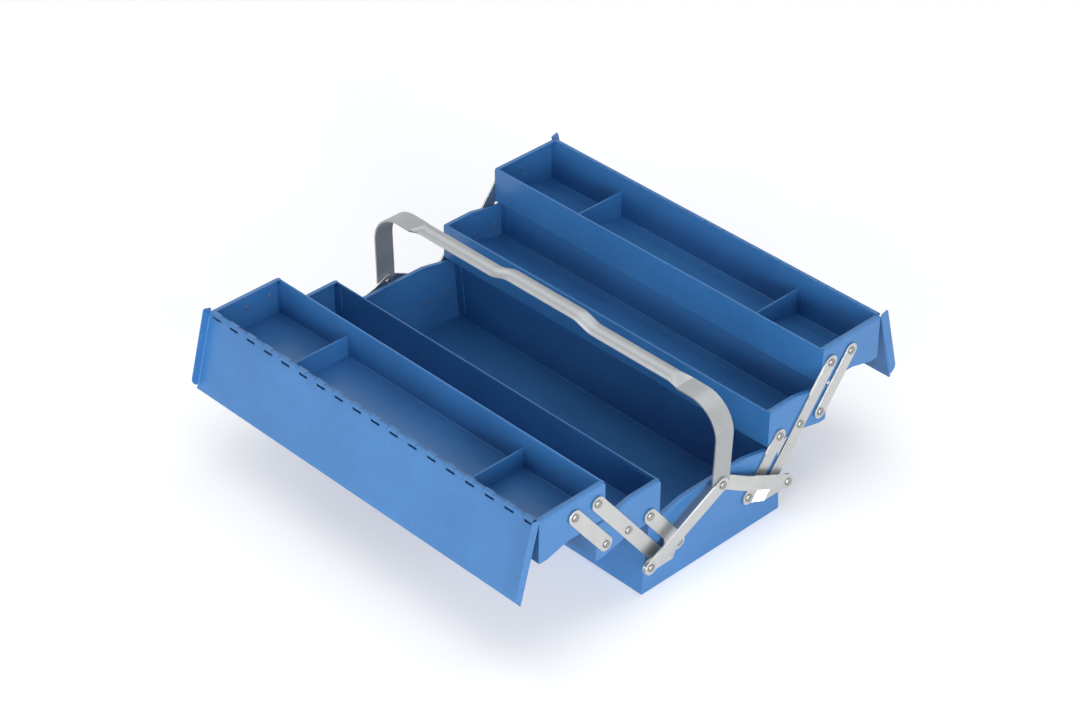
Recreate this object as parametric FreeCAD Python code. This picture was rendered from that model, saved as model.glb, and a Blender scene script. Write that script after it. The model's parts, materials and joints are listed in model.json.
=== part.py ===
import FreeCAD, Part
import math
import os

# Cantilever tool box, standing wide open with its lids hanging and its handle upright.
# X runs along the box, Y across it, Z up. The origin is the middle of the base's underside.
# Lengths are in millimetres, angles in degrees.
# The object looks the same after half a turn about Z, so each piece is made once for the back
# side (+Y) and turned half round for the front side.

os.makedirs("parts", exist_ok=True)
Vector = FreeCAD.Vector

# Sheet metal
body_length = 474.0          # over the outer faces of the end walls
sheet = 0.9                  # thickness of every painted sheet
bend_radius = 2.0            # outside radius where an end wall rolls into its rim
fold_radius = 1.6            # outside radius where a wall folds up from the floor
rim_depth = 5.6              # how far an end wall's rolled rim reaches in
hem_height = 6.0             # how far a long wall's edge is folded down on itself
tab_width = 11.0             # corner tabs of the end walls, spot welded inside the long walls
tab_rise = 5.0               # their lower end, above the floor
tab_chamfer = 5.0            # on their lower corner
corner_radius = 4.0          # an end wall's upper corner beside the middle of the box
overrun = 5.0                # how far cutting shapes reach past what they cut
touching = 0.05              # edges this near a plane count as lying on it

# Base
base_width = 200.0           # over the floor
base_lean = 8.0              # how far each long wall leans in at its top
base_wall_height = 84.0      # long walls
base_end_height = 91.15      # the raised middle of the end walls
base_crown = 43.6            # half the width of that raised middle
rim_ledge = 14.0             # level part of an end wall's top beside the outer wall

# Trays
tray_width = 86.65
tray_height = 43.7           # at the inner wall of a middle tray
top_tray_height = 43.2       # at the inner wall of a top tray
tray_drop = 7.2              # how much lower the outer part of a tray is
floor_ledge = 10.0           # level part of a tray's floor beside the outer wall
floor_slope_end = 39.0       # where the floor's slope ends, from the outer wall
rim_slope_end = 47.8         # where a middle tray's sloping top ends, from the outer wall
half_gap = 1.5               # half of the gap between the closed trays
stack_gap = 0.8              # gap between trays that are stacked when closed

# Linkage
link_length = 69.0           # between the pivots of every link
open_angle = 37.7            # how far the links lean out when open
swing_angle = 67.1           # how far they turn to close the box
pivot_pitch = 30.2           # between neighbouring pivots of one end wall
crank_pivot_y = 50.3         # the crank's pivot on the base
base_pivot_drop = 50.35      # the base's pivots, below the raised middle of the end walls
crank_arm_length = 48.4
crank_arm_angle = 52.8       # the crank's arm, below its link
lever_length = 110.0
strap_width = 16.0
strap = 2.0                  # thickness of links, cranks, levers and handle
crank_bend_start = 8.8       # where the arm bends outwards, from the middle line of its link
crank_bend_end = 17.6
lever_bend_start = 17.0      # where a bent lever bends outwards, from the handle's pin
lever_bend_end = 39.0
crank_web_radius = 6.0       # in the crank's inner corner
link_gap = 0.5               # from an end wall to a link
layer_gap = 0.5              # between levers, handle and crank arm

# Rivets
rivet_radius = 2.5
rivet_head_radius = 4.4
rivet_head = 1.6             # thickness of the head
rivet_rim = 1.0              # thickness of its rim
rivet_crown_radius = 3.3
rivet_tail_radius = 3.5
rivet_tail = 1.1             # thickness of the tail
rivet_sides = 10             # flats on a rivet, and on the holes that no joint turns on
running_gap = 0.06           # radial, a rivet in a hole that turns on it
seat_gap = 0.1               # axial, under the heads of pins that turn

# Lids and their hinges
wire_radius = 1.0
wire_gap = 0.08              # radial, the wire in its knuckles
wall_gap = 0.25              # from the tray's outer wall to the knuckles
lid_gap = 0.2                # from a tray's rim to the closed lid
lid_reach = 88.5             # from the hinge's axis to the lid's free edge
lid_swing_angle = 255.1      # how far a lid turns from lying closed to hanging open
lid_flange = 10.5            # depth of the lid's end flanges
lid_flange_gap = 0.4         # from a tray's end wall to the flange
lid_flange_past = 3.6        # how far a flange runs past the hinge's axis
lid_flange_stop = 5.0        # where it ends, from the free edge
lid_flange_radius = 8.5      # its rounded outer corner
lid_corner_radius = 2.5
knuckle_count = 18           # on a tray; the lid has one less
knuckle_gap = 0.4            # between neighbouring knuckles
knuckle_inset = 4.45         # from a tray's end to its first knuckle
knuckle_sides = 8            # flats on a rolled knuckle
knuckle_hole_sides = 6
slot_reach = 3.7             # how far the lid's slots reach in from the hinge's axis
slot_back = 1.0              # width of the lid's hinge strip behind the slots

# Dividers
divider_x = 128.0
divider_drop = 17.9          # from the rim down to a divider's top
divider_tab = 8.0            # its welded side tabs
divider_fold_radius = 0.8    # on its folded top

# Handle
handle_width = 24.4
handle_rise = 94.1           # from its pins up to the flat part of the strap
handle_splay = 3.0           # how far each leg leans out on its way up
handle_lean_radius = 111.0   # where a leg starts to lean out
handle_bend_radius = 37.0    # where a leg bends over into the grip
handle_end_radius = 12.2     # the rounded foot of each leg
grip_start = 19.1            # flat strap between a leg's bend and the rounded grip
grip_form_length = 13.0      # over which the flat strap turns into the rounded grip
grip_width = 19.4
grip_crown = 6.9             # height of the grip's rounded section
grip_start_crown = 0.2       # the slight curve where the flat strap starts to turn
grip_raise = 6.5             # the middle of the grip above its ends
grip_raise_start = 74.0      # where the raised middle starts, from the centre
grip_raise_end = 46.0        # where it has its full height
grip_raise_steps = 4         # sections that shape the rise

# Places that follow from the sizes above
half_length = body_length / 2
closed_angle = swing_angle - open_angle


def polar(distance, angle):
    """Y and Z of a point at a distance, with the angle measured from straight up, outwards."""
    return (distance * math.sin(math.radians(angle)), distance * math.cos(math.radians(angle)))


def shifted(point, step):
    return (point[0] + step[0], point[1] + step[1])


link_step = polar(link_length, open_angle)
closed_step = polar(link_length, -closed_angle)
travel = link_step[0] - closed_step[0]
lift = closed_step[1] - link_step[1]
pitch_step = (pivot_pitch, 0)

crank_base = (crank_pivot_y, base_end_height - base_pivot_drop)
bar_base = shifted(crank_base, pitch_step)
crank_mid = shifted(crank_base, link_step)
bar_mid = shifted(bar_base, link_step)
outer_mid = shifted(bar_mid, pitch_step)
bar_top = shifted(bar_mid, link_step)
outer_top = shifted(outer_mid, link_step)
crank_elbow = shifted(crank_base, polar(crank_arm_length, open_angle + crank_arm_angle))
handle_z = crank_elbow[1] + math.sqrt(lever_length ** 2 - crank_elbow[0] ** 2)
handle_point = (0, handle_z)

mid_inner = half_gap + travel
mid_floor = base_end_height + stack_gap - lift
mid_rim = mid_floor + tray_height
top_inner = mid_inner + travel
top_floor = mid_rim + stack_gap - lift
top_rim = top_floor + top_tray_height

# Layers outside an end wall, from the wall outwards
link_layer = link_gap
inner_lever_layer = link_layer + strap + rivet_head + layer_gap
handle_layer = inner_lever_layer + strap + layer_gap
outer_lever_layer = handle_layer + strap + layer_gap

knuckle_radius = wire_radius + wire_gap + sheet
hinge_y = top_inner + tray_width + wall_gap + knuckle_radius
hinge_z = top_rim + lid_gap + sheet - knuckle_radius
knuckle_span = body_length - 2 * knuckle_inset
knuckle_pitch = (knuckle_span + knuckle_gap) / (knuckle_count - 1 / 2)
knuckle_length = knuckle_pitch / 2 - knuckle_gap
hole_radius = rivet_radius + running_gap
leg_outside = half_length + handle_layer + handle_splay + strap
grip_half_length = leg_outside - handle_bend_radius - grip_start


def face_from(points, place):
    """A face from points (u, v, radius); a radius rounds that corner. place maps u, v to space."""
    flat = [Vector(u, v, 0) for u, v, radius in points]
    edges = []
    ends = []
    for index, (u, v, radius) in enumerate(points):
        here = flat[index]
        before = (flat[index - 1] - here).normalize()
        after = (flat[(index + 1) % len(flat)] - here).normalize()
        if radius <= 0:
            ends.append((here, here, None))
            continue
        half = before.getAngle(after) / 2
        run = radius / math.tan(half)
        middle = (before + after).normalize()
        tip = here + middle * (radius / math.sin(half) - radius)
        ends.append((here + before * run, here + after * run, tip))
    for index, (start, end, tip) in enumerate(ends):
        if tip is not None:
            edges.append(Part.Arc(place(start), place(tip), place(end)).toShape())
        following = ends[(index + 1) % len(ends)][0]
        edges.append(Part.LineSegment(place(end), place(following)).toShape())
    return Part.Face(Part.Wire(edges))


def across(x):
    """Places an outline's u, v on Y, Z at a fixed X."""
    return lambda point: Vector(x, point.x, point.y)


def along(y):
    """Places an outline's u, v on X, Z at a fixed Y."""
    return lambda point: Vector(point.x, y, point.y)


def prism(points, start, length):
    """An outline in Y and Z, drawn out along X."""
    return face_from(points, across(start)).extrude(Vector(length, 0, 0))


def panel(points, start, depth):
    """An outline in X and Z, drawn out along Y."""
    return face_from(points, along(start)).extrude(Vector(0, depth, 0))


def disc(radius, x, length, point):
    """A cylinder along X, centred on a point in Y and Z."""
    return Part.makeCylinder(radius, length, Vector(x, point[0], point[1]), Vector(1, 0, 0))


def flats(sides, apothem, x, length, point):
    """A prism along X with flat sides, all touching a circle of the radius apothem."""
    radius = apothem / math.cos(math.pi / sides)
    corners = []
    for i in range(sides):
        angle = math.pi * (2 * i + 1) / sides
        corners.append((point[0] + radius * math.sin(angle), point[1] + radius * math.cos(angle), 0))
    return prism(corners, x, length)


def pegged(x, length, point, radius=rivet_radius):
    """A rivet's stem or tail: a round bar drawn with a few flats, its corners on the radius."""
    return flats(rivet_sides, radius * math.cos(math.pi / rivet_sides), x, length, point)


def parted(shape, regions):
    """The same shape as touching solids, one for each region and the rest, so that each is nearly
    convex and a collision hull can follow it."""
    solids = []
    for region in regions:
        solids += shape.common(region).Solids
        shape = shape.cut(region)
    return solids + shape.Solids


def slab(x=None, y=None, z=None):
    """A box that is open-ended where no limits are given."""
    limits = [pair if pair else (-body_length, body_length) for pair in (x, y, z)]
    low = Vector(limits[0][0], limits[1][0], limits[2][0])
    sizes = [high - start for start, high in limits]
    return Part.makeBox(sizes[0], sizes[1], sizes[2], low)


def fused(shapes):
    whole = shapes[0].multiFuse(shapes[1:]) if len(shapes) > 1 else shapes[0]
    return whole.removeSplitter()


def half_turn(shape):
    """The same piece on the other side of the box."""
    if isinstance(shape, list):
        return [half_turn(item) for item in shape]
    return shape.rotated(Vector(0, 0, 0), Vector(0, 0, 1), 180)


def far_end(shape):
    """The same piece at the other end of the box."""
    if isinstance(shape, list):
        return [far_end(item) for item in shape]
    return shape.mirror(Vector(0, 0, 0), Vector(1, 0, 0))


def save(name, shape):
    """Writes one node from a shape or a list of solids."""
    solids = Part.makeCompound(shape).Solids if isinstance(shape, list) else shape.Solids
    result = solids[0] if len(solids) == 1 else Part.makeCompound(solids)
    result.exportStep("parts/" + name + ".step")
    print(name, len(solids), "solids", round(result.Volume), "mm3", "valid", result.isValid())


# Folded sheet

def hem(wall_top, lean, inwards, start, length):
    """The folded edge of a long wall: two sheets with a round top."""
    turn = math.atan(lean)
    up = (math.sin(turn) * inwards, math.cos(turn))
    through = math.cos(turn) * inwards * sheet
    outer_low = shifted(wall_top, (-up[0] * hem_height, -up[1] * hem_height))
    outer_high = shifted(wall_top, (-up[0] * sheet, -up[1] * sheet))
    inner_low = shifted(outer_low, (2 * through, 0))
    inner_high = shifted(outer_high, (2 * through, 0))
    crest = shifted(wall_top, (through, 0))
    corners = [Vector(start, y, z) for y, z in (inner_high, inner_low, outer_low, outer_high)]
    edges = [Part.LineSegment(a, b).toShape() for a, b in zip(corners, corners[1:])]
    edges.append(Part.Arc(corners[-1], Vector(start, crest[0], crest[1]), corners[0]).toShape())
    return Part.Face(Part.Wire(edges)).extrude(Vector(length, 0, 0))


def corner_tabs(foot, top, inwards):
    """Two tabs of the end walls, folded against the inside of one long wall from foot to top."""
    slope = (top[0] - foot[0]) / (top[1] - foot[1])
    inside = half_length - sheet
    low = foot[1] + tab_rise
    high = top[1] - hem_height
    end = inside - tab_width
    outline = [(inside, low, 0), (end + tab_chamfer, low, 0), (end, low + tab_chamfer, 0), (end, high, 0),
               (inside, high, 0)]
    tab = panel(outline, -overrun, base_width + 2 * overrun)
    face = [foot[0] + slope * (z - foot[1]) + inwards * sheet for z in (low, high)]
    slab = prism([(face[0], low, 0), (face[0] + inwards * sheet, low, 0),
                  (face[1] + inwards * sheet, high, 0), (face[1], high, 0)], -half_length, body_length)
    near = tab.common(slab) if face[0] > 0 else tab.translated(Vector(0, -base_width, 0)).common(slab)
    return [near, far_end(near)]


def top_edges(shape, x, low):
    """Edges of an end face that lie on its top."""
    found = []
    for edge in shape.Edges:
        box = edge.BoundBox
        level = box.ZLength < box.YLength
        on_plane = abs(box.XMin - x) < touching and abs(box.XMax - x) < touching
        if on_plane and level and box.ZMin > low:
            found.append(edge)
    return found


def pan(outside, inside, mouth, low):
    """A sheet pan: an outline drawn along X, hollowed, with its end walls rolled in at the top."""
    block = prism(outside, -half_length, body_length)
    ends = top_edges(block, half_length, low) + top_edges(block, -half_length, low)
    block = block.makeFillet(bend_radius, ends)
    core_length = half_length - sheet
    core = prism(inside, -core_length, 2 * core_length)
    rim_edges = top_edges(core, core_length, low) + top_edges(core, -core_length, low)
    core = core.makeFillet(bend_radius - sheet, rim_edges)
    opening_length = half_length - rim_depth
    opening = prism(mouth, -opening_length, 2 * opening_length)
    return block.cut(core).cut(opening)


def make_base():
    foot = base_width / 2
    shoulder = foot - base_lean
    lean = base_lean / base_wall_height
    edge = base_wall_height
    crown = base_end_height
    ledge = shoulder - rim_ledge
    right_out = [(foot, 0, fold_radius), (shoulder, edge, 0), (ledge, edge, 0), (base_crown, crown, 0)]
    left_out = [(-y, z, r) for y, z, r in reversed(right_out)]
    inner_foot = foot - sheet - lean * sheet
    inner_shoulder = shoulder - sheet + lean * sheet
    right_in = [(inner_foot, sheet, fold_radius - sheet), (inner_shoulder, edge - sheet, 0),
                (ledge, edge - sheet, 0), (base_crown, crown - sheet, 0)]
    left_in = [(-y, z, r) for y, z, r in reversed(right_in)]
    high = crown + overrun
    reach = foot - sheet - lean * high
    mouth = [(reach, high, 0), (-reach, high, 0), (-inner_foot, sheet, fold_radius - sheet),
             (inner_foot, sheet, fold_radius - sheet)]
    body = pan(right_out + left_out, right_in + left_in, mouth, base_wall_height / 2)
    body = body.cut(wall_tops(shoulder, edge)).cut(wall_tops(-shoulder, edge))
    hem_length = 2 * (half_length - rim_depth)
    hems = [hem((side * shoulder, edge), lean, -side, -hem_length / 2, hem_length) for side in (1, -1)]
    body = drilled(fused([body] + hems), [crank_base, bar_base], True)
    end = half_length - sheet
    ends = [(end, body_length), (-body_length, -end)]
    regions = [slab(x=span, z=(edge, body_length)) for span in ends]
    regions += [slab(x=span) for span in ends]
    regions += [wall_region((side * foot, 0), (side * shoulder, edge), -side) for side in (1, -1)]
    regions.append(slab(z=(-overrun, sheet)))
    regions += [slab(y=(ledge, body_length)), slab(y=(-body_length, -ledge))]
    tabs = []
    for side in (1, -1):
        tabs += corner_tabs((side * foot, 0), (side * shoulder, edge), -side)
    return parted(body, regions) + tabs


def wall_region(foot, top, inwards):
    """The space of one long wall and its hem, without the end walls."""
    slope = (top[0] - foot[0]) / (top[1] - foot[1])
    thickness = inwards * sheet
    hem_low = top[1] - hem_height
    at_floor = foot[0] + slope * sheet + thickness
    at_hem = foot[0] + slope * (hem_low - foot[1]) + thickness
    outside = -inwards * overrun
    low = foot[1] - overrun
    high = top[1] + overrun
    outline = [(foot[0] + outside, low, 0), (at_floor, low, 0), (at_floor, foot[1] + sheet, 0),
               (at_hem, hem_low, 0), (at_hem + thickness, hem_low, 0), (top[0] + 2 * thickness, high, 0),
               (top[0] + outside, high, 0)]
    return prism(outline, -half_length, body_length)


def wall_tops(y, top):
    """The strip that makes room for the round top of a hem."""
    width = 2 * (sheet + hem_height)
    length = 2 * (half_length - rim_depth)
    return Part.makeBox(length, width, 2 * sheet, Vector(-length / 2, y - width / 2, top - sheet))


def drilled(shape, points, both_sides):
    """Rivet holes through both end walls."""
    length = body_length + 2 * overrun
    for y, z in points:
        shape = shape.cut(pegged(-length / 2, length, (y, z)))
        if both_sides:
            shape = shape.cut(pegged(-length / 2, length, (-y, z)))
    return shape


def tray_outline(inner, floor, rim, sloped):
    """Corners of a tray's end wall, from the foot of its inner wall round to its upper inner corner."""
    outer = inner + tray_width
    bottom = [(inner, floor), (outer - floor_slope_end, floor), (outer - floor_ledge, floor - tray_drop),
              (outer, floor - tray_drop)]
    if sloped:
        return bottom + [(outer, rim - tray_drop), (outer - rim_ledge, rim - tray_drop),
                         (outer - rim_slope_end, rim), (inner, rim)]
    return bottom + [(outer, rim), (inner, rim)]


def make_tray(inner, floor, rim, sloped, pivots):
    outer = inner + tray_width
    corners = tray_outline(inner, floor, rim, sloped)
    folds = {0: fold_radius, 3: fold_radius}
    outside = [(y, z, folds.get(i, 0)) for i, (y, z) in enumerate(corners)]
    inside = []
    for i, (y, z) in enumerate(corners):
        across_wall = sheet if y == inner else -sheet if y == outer else 0
        through_floor = sheet if i < 4 else -sheet
        inside.append((y + across_wall, z + through_floor, folds[i] - sheet if i in folds else 0))
    high = rim + overrun
    mouth = inside[:4] + [(outer - sheet, high, 0), (inner + sheet, high, 0)]
    body = pan(outside, inside, mouth, (floor + rim) / 2)
    outer_rim = rim - tray_drop if sloped else rim
    hem_length = 2 * (half_length - rim_depth)
    body = body.cut(wall_tops(inner, rim))
    extras = [hem((inner, rim), 0, 1, -hem_length / 2, hem_length)]
    tabs = corner_tabs((inner, floor), (inner, rim), 1)
    tabs += corner_tabs((outer, floor - tray_drop), (outer, outer_rim), -1)
    if sloped:
        body = body.cut(wall_tops(outer, outer_rim))
        extras.append(hem((outer, outer_rim), 0, -1, -hem_length / 2, hem_length))
    else:
        extras += tray_knuckles()
    body = fused([body] + extras)
    centre = (inner + corner_radius, rim - corner_radius)
    corner = [(inner - overrun, centre[1], 0), (centre[0], centre[1], 0), (centre[0], rim + overrun, 0),
              (inner - overrun, rim + overrun, 0)]
    start = half_length - bend_radius
    length = bend_radius + overrun
    rounding = prism(corner, start, length).cut(disc(corner_radius, start, length, centre))
    body = drilled(body.cut(rounding).cut(far_end(rounding)), pivots, False)
    end = half_length - sheet
    ends = [(end, body_length), (-body_length, -end)]
    regions = [slab(x=span, z=(-overrun, floor)) for span in ends]
    if sloped:
        regions += [slab(x=span, z=(outer_rim, body_length)) for span in ends]
    else:
        strip_low = hinge_z - knuckle_radius - wall_gap
        regions.append(slab(x=(-end, end), y=(outer - sheet, body_length), z=(strip_low, body_length)))
    regions += [slab(x=span) for span in ends]
    regions += [wall_region((inner, floor), (inner, rim), 1),
                wall_region((outer, floor - tray_drop), (outer, outer_rim), -1)]
    middle = (floor + rim) / 2
    if sloped:
        regions.append(slab(y=(outer - rim_ledge, body_length), z=(middle, body_length)))
    regions.append(slab(z=(middle, body_length)))
    solids = parted(body, regions)
    floor_plate = solids.pop()
    folds = [inner, outer - floor_slope_end, outer - floor_ledge, outer]
    for span in zip(folds, folds[1:]):
        solids += floor_plate.common(slab(y=span)).Solids
    return solids + tabs


def make_divider(x):
    """A divider between the walls of a top tray, with a folded top and welded side tabs."""
    low = top_floor + sheet
    high = top_rim - divider_drop
    inner = top_inner + sheet
    outer = top_inner + tray_width - sheet
    edge = top_inner + tray_width
    fold_low = high - hem_height
    outline = [(inner, low, fold_radius), (edge - floor_slope_end, low, 0),
               (edge - floor_ledge, low - tray_drop, 0), (outer, low - tray_drop, fold_radius),
               (outer, fold_low, 0), (inner, fold_low, 0)]
    face = x - sheet / 2
    plate = parted(prism(outline, face, sheet), [slab(y=(edge - floor_slope_end, body_length))])
    fold_face = face + 2 * sheet
    fold = panel([(face, fold_low, 0), (fold_face, fold_low, 0), (fold_face, high, divider_fold_radius),
                  (face, high, divider_fold_radius)], inner, outer - inner)
    tab_end = face + divider_tab
    tabs = []
    for wall, floor in ((inner, low), (outer - sheet, low - tray_drop)):
        tab_low = floor + tab_rise
        tabs.append(panel([(face + sheet, tab_low, 0), (tab_end, tab_low, 0), (tab_end, fold_low, 0),
                           (face + sheet, fold_low, 0)], wall, sheet))
    return plate + [fold] + tabs


# Hinges and lids

def knuckle(x, length):
    """A rolled knuckle with room for the wire."""
    axis = (hinge_y, hinge_z)
    hole = flats(knuckle_hole_sides, wire_radius + wire_gap, x, length, axis)
    return flats(knuckle_sides, knuckle_radius, x, length, axis).cut(hole)


def tray_knuckle_places():
    first = -(knuckle_count - 1) * knuckle_pitch / 2
    return [first + i * knuckle_pitch for i in range(knuckle_count)]


def tray_knuckles():
    """Rolled knuckles on a top tray's outer wall, each with the tab that it is rolled from."""
    wall = top_inner + tray_width
    top = hinge_z + knuckle_radius
    shapes = []
    for middle in tray_knuckle_places():
        x = middle - knuckle_length / 2
        low = top_rim - sheet
        tab = prism([(wall - sheet, low, 0), (wall, low, 0), (wall, top - sheet, 0),
                     (hinge_y, top - sheet, 0), (hinge_y, top, 0), (wall - sheet, top, 0)],
                    x, knuckle_length)
        shapes.append(fused([tab, knuckle(x, knuckle_length)]))
    return shapes


def lid_outline_cut(half_width):
    """What is cut from a lid's end flange: its rounded corner and the strip near the free edge."""
    top = hinge_z + knuckle_radius
    low = top - lid_flange
    stop = hinge_y - lid_reach + lid_flange_stop
    start = hinge_y + lid_flange_past
    far = hinge_y - lid_reach - overrun
    flange = prism([(start, low, bend_radius), (start, top, bend_radius), (stop, top, 0),
                    (stop, low, lid_flange_radius)], half_width - sheet, sheet + overrun)
    zone = prism([(start + overrun, low - overrun, 0), (start + overrun, top + overrun, 0),
                  (far, top + overrun, 0), (far, low - overrun, 0)], half_width - sheet, sheet + overrun)
    return zone.cut(flange)


def make_lid():
    """A lid lying closed, then swung open about its hinge."""
    top = hinge_z + knuckle_radius
    half_width = half_length + lid_flange_gap + sheet
    low = top - lid_flange
    inner_width = half_width - sheet
    inner_radius = bend_radius - sheet
    channel = [(-half_width, low, 0), (-half_width, top, bend_radius), (half_width, top, bend_radius),
               (half_width, low, 0), (inner_width, low, 0), (inner_width, top - sheet, inner_radius),
               (-inner_width, top - sheet, inner_radius), (-inner_width, low, 0)]
    reach = lid_reach + lid_flange_past
    body = panel(channel, hinge_y - lid_reach, reach)
    trim = lid_outline_cut(half_width)
    body = body.cut(trim).cut(far_end(trim))
    slot_depth = 2 * sheet
    slot_floor = top - sheet - sheet / 2
    past = Part.makeBox(2 * inner_width, lid_flange_past + overrun, slot_depth,
                        Vector(-inner_width, hinge_y, slot_floor))
    body = body.cut(past)
    slots = []
    slot_length = knuckle_length + 2 * knuckle_gap
    for middle in tray_knuckle_places():
        slots.append(Part.makeBox(slot_length, slot_reach + overrun, slot_depth,
                                  Vector(middle - slot_length / 2, hinge_y - slot_reach, slot_floor)))
    body = body.cut(Part.makeCompound(slots))
    knuckles = []
    for left, right in zip(tray_knuckle_places(), tray_knuckle_places()[1:]):
        knuckles.append(knuckle((left + right) / 2 - knuckle_length / 2, knuckle_length))
    strip = hinge_y - slot_reach - slot_back
    regions = [slab(x=(inner_width, body_length)), slab(x=(-body_length, -inner_width)),
               slab(y=(strip, body_length))]
    solids = parted(fused([body] + knuckles), regions)
    hinge = Vector(0, hinge_y, hinge_z)
    return [item.rotated(hinge, Vector(1, 0, 0), -lid_swing_angle) for item in solids]


def make_hinge_wire():
    length = (knuckle_count - 1) * knuckle_pitch + knuckle_length
    return disc(wire_radius, -length / 2, length, (hinge_y, hinge_z))


# Linkage, at the near end, in layers outside the end wall

def strap_face(start, end, x):
    """The outline of a strap with round ends, in the plane at x."""
    direction = Vector(0, end[0] - start[0], end[1] - start[1]).normalize()
    side = Vector(1, 0, 0).cross(direction) * (strap_width / 2)
    tip = direction * (strap_width / 2)
    a = Vector(x, start[0], start[1])
    b = Vector(x, end[0], end[1])
    edges = [Part.LineSegment(a + side, b + side), Part.Arc(b + side, b + tip, b - side),
             Part.LineSegment(b - side, a - side), Part.Arc(a - side, a - tip, a + side)]
    return Part.Face(Part.Wire([edge.toShape() for edge in edges]))


def flat_strap(start, end, layer, joint_holes, other_holes):
    """A flat strap in one layer, with a hole to turn on at each pivot given."""
    body = strap_face(start, end, half_length + layer).extrude(Vector(strap, 0, 0))
    return holed(body, joint_holes, other_holes)


def holed(body, joint_holes, other_holes):
    """Holes along X through a link. Those on a joint's axis are truly round."""
    depth = outer_lever_layer + strap + overrun
    for point in joint_holes:
        body = body.cut(disc(hole_radius, half_length, depth, point))
    for point in other_holes:
        body = body.cut(flats(rivet_sides, hole_radius, half_length, depth, point))
    return body


def elbow_hole(body):
    """The hole at a crank's elbow, which holds its half of the rivet tightly."""
    return body.cut(pegged(half_length, outer_lever_layer + strap + overrun, crank_elbow))


def bent_ribbon(origin, run_direction, inner_layer, outer_layer, bend_start, bend_end):
    """A wide sheet outside the end wall that bends outwards, from one layer to another.

    run_direction points along it, at right angles to its two folds, and the bends are measured
    from the origin.
    """
    inner = half_length + inner_layer
    outer = half_length + outer_layer
    rise = (outer - inner) / (bend_end - bend_start)
    shift = strap * (math.sqrt(1 + rise ** 2) - 1) / rise / 2
    reach = 2 * lever_length
    profile = [(-reach, inner), (bend_start + shift, inner), (bend_end + shift, outer), (reach, outer),
               (reach, outer + strap), (bend_end - shift, outer + strap),
               (bend_start - shift, inner + strap), (-reach, inner + strap)]
    along_fold = Vector(1, 0, 0).cross(run_direction)
    base = Vector(0, origin[0], origin[1]) - along_fold * reach
    corners = [base + run_direction * u + Vector(x, 0, 0) for u, x in profile]
    edges = [Part.LineSegment(p, q).toShape() for p, q in zip(corners, corners[1:] + corners[:1])]
    return Part.Face(Part.Wire(edges)).extrude(along_fold * (2 * reach))


def make_crank():
    """The link from base to middle tray, and the arm that bends outwards to the lever.

    Both are one plate. The arm's folds run along the edge of the link.
    """
    link = flat_strap(crank_base, crank_mid, link_layer, [], [])
    depth = outer_lever_layer + strap
    arm_outline = strap_face(crank_base, crank_elbow, half_length).extrude(Vector(depth, 0, 0))
    arm_outline = arm_outline.fuse(crank_web(depth))
    run = polar(1, open_angle)
    across_link = Vector(0, run[1], -run[0])
    ribbon = bent_ribbon(crank_base, across_link, link_layer, handle_layer, crank_bend_start,
                         crank_bend_end)
    body = fused([link, ribbon.common(arm_outline)])
    return elbow_hole(holed(body, [crank_base], [crank_mid]))


def crank_web(depth):
    """The small radius that fills the corner between a crank's link and its arm."""
    half_corner = math.radians(crank_arm_angle / 2)
    middle_angle = open_angle + crank_arm_angle / 2
    half_strap = strap_width / 2
    corner = shifted(crank_base, polar(half_strap / math.sin(half_corner), middle_angle))
    reach = (half_strap + crank_web_radius) / math.sin(half_corner)
    centre = shifted(crank_base, polar(reach, middle_angle))
    run = crank_web_radius / math.tan(half_corner)
    first = shifted(corner, polar(run, open_angle))
    second = shifted(corner, polar(run, open_angle + crank_arm_angle))
    wedge = prism([(corner[0], corner[1], 0), (second[0], second[1], 0), (first[0], first[1], 0)],
                  half_length, depth)
    return wedge.cut(disc(crank_web_radius, half_length, depth, centre))


def make_lever(bent):
    """A lever from the handle's pin to the crank's elbow.

    A bent one starts inside the handle and is bent outwards beside it. A straight one lies
    outside the handle all the way.
    """
    if bent:
        direction = Vector(0, crank_elbow[0], crank_elbow[1] - handle_z).normalize()
        outline = strap_face(handle_point, crank_elbow, half_length)
        outline = outline.extrude(Vector(outer_lever_layer + strap + overrun, 0, 0))
        ribbon = bent_ribbon(handle_point, direction, inner_lever_layer, outer_lever_layer,
                             lever_bend_start, lever_bend_end)
        body = ribbon.common(outline)
    else:
        body = flat_strap(handle_point, crank_elbow, outer_lever_layer, [], [])
    return elbow_hole(holed(body, [handle_point], []))


def rivet_head_at(x, point):
    """A rivet's head: a low disc with a smaller one on it."""
    rim = pegged(x, rivet_rim, point, rivet_head_radius)
    return rim.fuse(pegged(x + rivet_rim, rivet_head - rivet_rim, point, rivet_crown_radius))


def wall_rivet(point):
    """A rivet through an end wall and the link outside it, with a flat tail inside the wall."""
    head_start = half_length + link_layer + strap
    tail_start = half_length - sheet
    stem = pegged(tail_start, head_start - tail_start, point)
    tail = pegged(tail_start - rivet_tail, rivet_tail, point, rivet_tail_radius)
    return fused([rivet_head_at(head_start, point), stem, tail])


def lever_rivet():
    """The head and stem of the rivet at the crank's elbow, the half that stays with the lever."""
    x = half_length + outer_lever_layer
    return fused([pegged(x, strap, crank_elbow), rivet_head_at(x + strap, crank_elbow)])


def crank_rivet():
    """The stem and flat tail of that rivet, the half that stays with the crank's arm."""
    x = half_length + handle_layer
    tail = pegged(x - rivet_tail, rivet_tail, crank_elbow, rivet_tail_radius)
    return fused([pegged(x, strap, crank_elbow), tail])


def make_handle_pin():
    """The pin that a bent lever, the handle and a straight lever share."""
    start = half_length + inner_lever_layer - seat_gap
    end = half_length + outer_lever_layer + strap + seat_gap
    stem = pegged(start, end - start, handle_point)
    tail = pegged(start - rivet_tail, rivet_tail, handle_point, rivet_tail_radius)
    return fused([rivet_head_at(end, handle_point), stem, tail])


# Handle

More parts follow.
